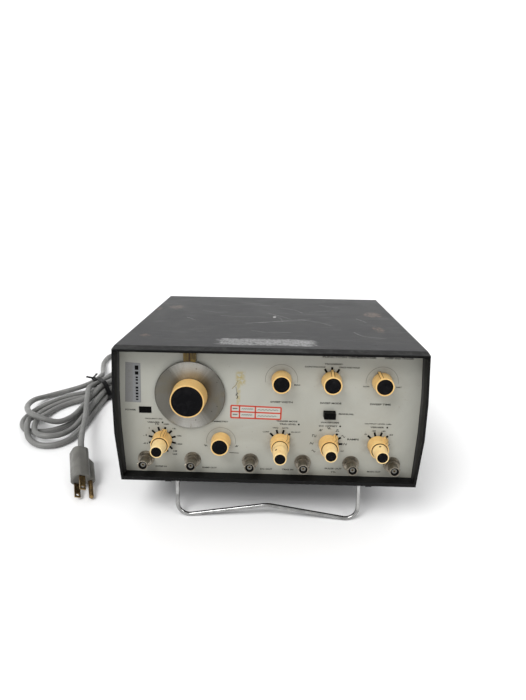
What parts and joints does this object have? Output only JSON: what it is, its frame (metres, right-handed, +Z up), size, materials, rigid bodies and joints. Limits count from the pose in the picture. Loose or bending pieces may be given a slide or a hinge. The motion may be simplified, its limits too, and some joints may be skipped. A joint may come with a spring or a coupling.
{
  "type": "function generator",
  "caption": "Bench function generator with a large frequency dial, paired knobs, push buttons, coaxial jacks, a folding wire bail and a tied mains cord.",
  "frame": {"origin": "on the bench, under the centre of the box around the case, its controls and its bail, without the cord", "axes": "+X to the right seen from the front, +Y to the back, +Z up; the case leans back by 9 degrees on its bail"},
  "size_m": [0.4654, 0.4036, 0.1774],
  "materials": {
    "case_paint": "semi-gloss charcoal enamel with fine texture, scuffed",
    "bezel_paint": "satin charcoal enamel, worn to grey on the top edge",
    "panel_paint": "satin grey-beige panel paint with fine printed lettering",
    "bare_steel": "plated sheet steel",
    "screw_steel": "plated screws",
    "board": "green circuit board laminate",
    "component": "moulded component bodies",
    "transformer_iron": "varnished laminations",
    "can": "capacitor cans",
    "control_metal": "plated control cases and bushings",
    "knob_cream": "cream to tan moulded plastic, satin",
    "knob_black": "black insert disc",
    "dial_metal": "circularly spun aluminium",
    "index_amber": "amber translucent index block",
    "jack_nickel": "dulled nickel plate",
    "jack_insulator": "white dielectric",
    "contact_gold": "gold-flashed contact",
    "black_plastic": "black moulded plastic",
    "slide_red": "red moulded slider",
    "rubber_black": "black rubber",
    "bail_chrome": "chrome-plated wire",
    "cord_grey": "grey PVC cord jacket, satin",
    "plug_grey": "grey moulded vinyl plug",
    "plug_brass": "tarnished brass blades and pin",
    "tie_black": "black plastic-covered twist tie"
  },
  "bodies": {
    "case": {"front_bezel": "bezel_paint", "front_panel": "panel_paint", "top_cover": "case_paint", "bottom_cover": "case_paint", "rear_panel": "bare_steel", "side_rails": "bare_steel", "cover_screws": "screw_steel", "main_board": "board", "board_standoffs": "bare_steel", "board_parts": "component", "power_transformer": "transformer_iron", "filter_capacitors": "can", "control_bodies": "control_metal", "control_nuts": "control_metal", "power_switch": "component", "trigger_switch": "component", "dial_index": "index_amber", "bnc_shells": "jack_nickel", "bnc_nuts": "jack_nickel", "bnc_insulators": "jack_insulator", "bnc_contacts": "contact_gold", "fuse_holder": "black_plastic", "voltage_selector": "black_plastic", "strain_relief": "black_plastic", "rear_feet": "rubber_black", "front_feet": "rubber_black", "bail_brackets": "bare_steel", "mains_cord": "cord_grey", "plug_body": "plug_grey", "plug_pins": "plug_brass", "cord_tie": "tie_black"},
    "dial": {"dial_disc": "dial_metal", "dial_knob": "knob_cream", "dial_cap": "knob_black"},
    "sweep_width": {"sweep_width_knob": "knob_cream", "sweep_width_cap": "knob_black"},
    "sweep_mode": {"sweep_mode_knob": "knob_cream", "sweep_mode_cap": "knob_black"},
    "sweep_time": {"sweep_time_knob": "knob_cream", "sweep_time_cap": "knob_black"},
    "symmetry": {"symmetry_knob": "knob_cream", "symmetry_cap": "knob_black"},
    "range_select": {"range_outer": "knob_cream"},
    "range_vernier": {"range_inner": "knob_cream", "range_cap": "knob_black"},
    "trigger_select": {"trigger_outer": "knob_cream"},
    "trigger_level": {"trigger_inner": "knob_cream", "trigger_cap": "knob_black"},
    "shape_select": {"shape_outer": "knob_cream"},
    "shape_offset": {"shape_inner": "knob_cream", "shape_cap": "knob_black"},
    "level_select": {"level_outer": "knob_cream"},
    "level_vernier": {"level_inner": "knob_cream", "level_cap": "knob_black"},
    "power_push": {"power_button": "black_plastic"},
    "trigger_push": {"trigger_button": "black_plastic"},
    "selector_push": {"selector_slide": "slide_red"},
    "fuse_carrier": {"fuse_cap": "black_plastic"},
    "bail": {"bail": "bail_chrome"}
  },
  "joints": [
    {"name": "dial_turn", "type": "hinge", "parent": "case", "child": "dial", "pos_m": [-0.0743, -0.11251, 0.12793], "axis": [0, -0.9877, 0.1564], "range_deg": [-150, 150]},
    {"name": "sweep_width_turn", "type": "hinge", "parent": "case", "child": "sweep_width", "pos_m": [0.0109, -0.10996, 0.14402], "axis": [0, -0.9877, 0.1564], "range_deg": [0, 302]},
    {"name": "sweep_mode_turn", "type": "hinge", "parent": "case", "child": "sweep_mode", "pos_m": [0.0572, -0.10996, 0.14402], "axis": [0, -0.9877, 0.1564], "range_deg": [-30, 30]},
    {"name": "sweep_time_turn", "type": "hinge", "parent": "case", "child": "sweep_time", "pos_m": [0.1038, -0.10996, 0.14402], "axis": [0, -0.9877, 0.1564], "range_deg": [-171, 129]},
    {"name": "symmetry_turn", "type": "hinge", "parent": "case", "child": "symmetry", "pos_m": [-0.0456, -0.11985, 0.0816], "axis": [0, -0.9877, 0.1564], "range_deg": [0, 300]},
    {"name": "range_turn", "type": "hinge", "parent": "case", "child": "range_select", "pos_m": [-0.1023, -0.11985, 0.0816], "axis": [0, -0.9877, 0.1564], "range_deg": [-150, 120]},
    {"name": "range_vernier_turn", "type": "hinge", "parent": "case", "child": "range_vernier", "pos_m": [-0.1023, -0.11985, 0.0816], "axis": [0, -0.9877, 0.1564], "range_deg": [-150, 150]},
    {"name": "trigger_turn", "type": "hinge", "parent": "case", "child": "trigger_select", "pos_m": [0.0109, -0.11985, 0.0816], "axis": [0, -0.9877, 0.1564], "range_deg": [0, 90]},
    {"name": "trigger_level_turn", "type": "hinge", "parent": "case", "child": "trigger_level", "pos_m": [0.0109, -0.11985, 0.0816], "axis": [0, -0.9877, 0.1564], "range_deg": [-150, 150]},
    {"name": "shape_turn", "type": "hinge", "parent": "case", "child": "shape_select", "pos_m": [0.0572, -0.11985, 0.0816], "axis": [0, -0.9877, 0.1564], "range_deg": [-90, 150]},
    {"name": "shape_offset_turn", "type": "hinge", "parent": "case", "child": "shape_offset", "pos_m": [0.0572, -0.11985, 0.0816], "axis": [0, -0.9877, 0.1564], "range_deg": [-150, 150]},
    {"name": "level_turn", "type": "hinge", "parent": "case", "child": "level_select", "pos_m": [0.1038, -0.11985, 0.0816], "axis": [0, -0.9877, 0.1564], "range_deg": [0, 90]},
    {"name": "level_vernier_turn", "type": "hinge", "parent": "case", "child": "level_vernier", "pos_m": [0.1038, -0.11985, 0.0816], "axis": [0, -0.9877, 0.1564], "range_deg": [-150, 150]},
    {"name": "power_press", "type": "slide", "parent": "case", "child": "power_push", "axis": [0, -0.9877, 0.1564], "range_m": [0, 0.005]},
    {"name": "trigger_press", "type": "slide", "parent": "case", "child": "trigger_push", "axis": [0, 0.9877, -0.1564], "range_m": [0, 0.004], "stiffness_N_per_m": 400, "springref_m": -0.0005},
    {"name": "selector_move", "type": "slide", "parent": "case", "child": "selector_push", "axis": [1, 0, 0], "range_m": [0, 0.008]},
    {"name": "fuse_turn", "type": "hinge", "parent": "case", "child": "fuse_carrier", "pos_m": [0.062, 0.13003, 0.05478], "axis": [0, -0.9877, 0.1564], "range_deg": [0, 90]},
    {"name": "bail_fold", "type": "hinge", "parent": "case", "child": "bail", "pos_m": [0, -0.12048, 0.03928], "axis": [1, 0, 0], "range_deg": [0, 96]}
  ]
}
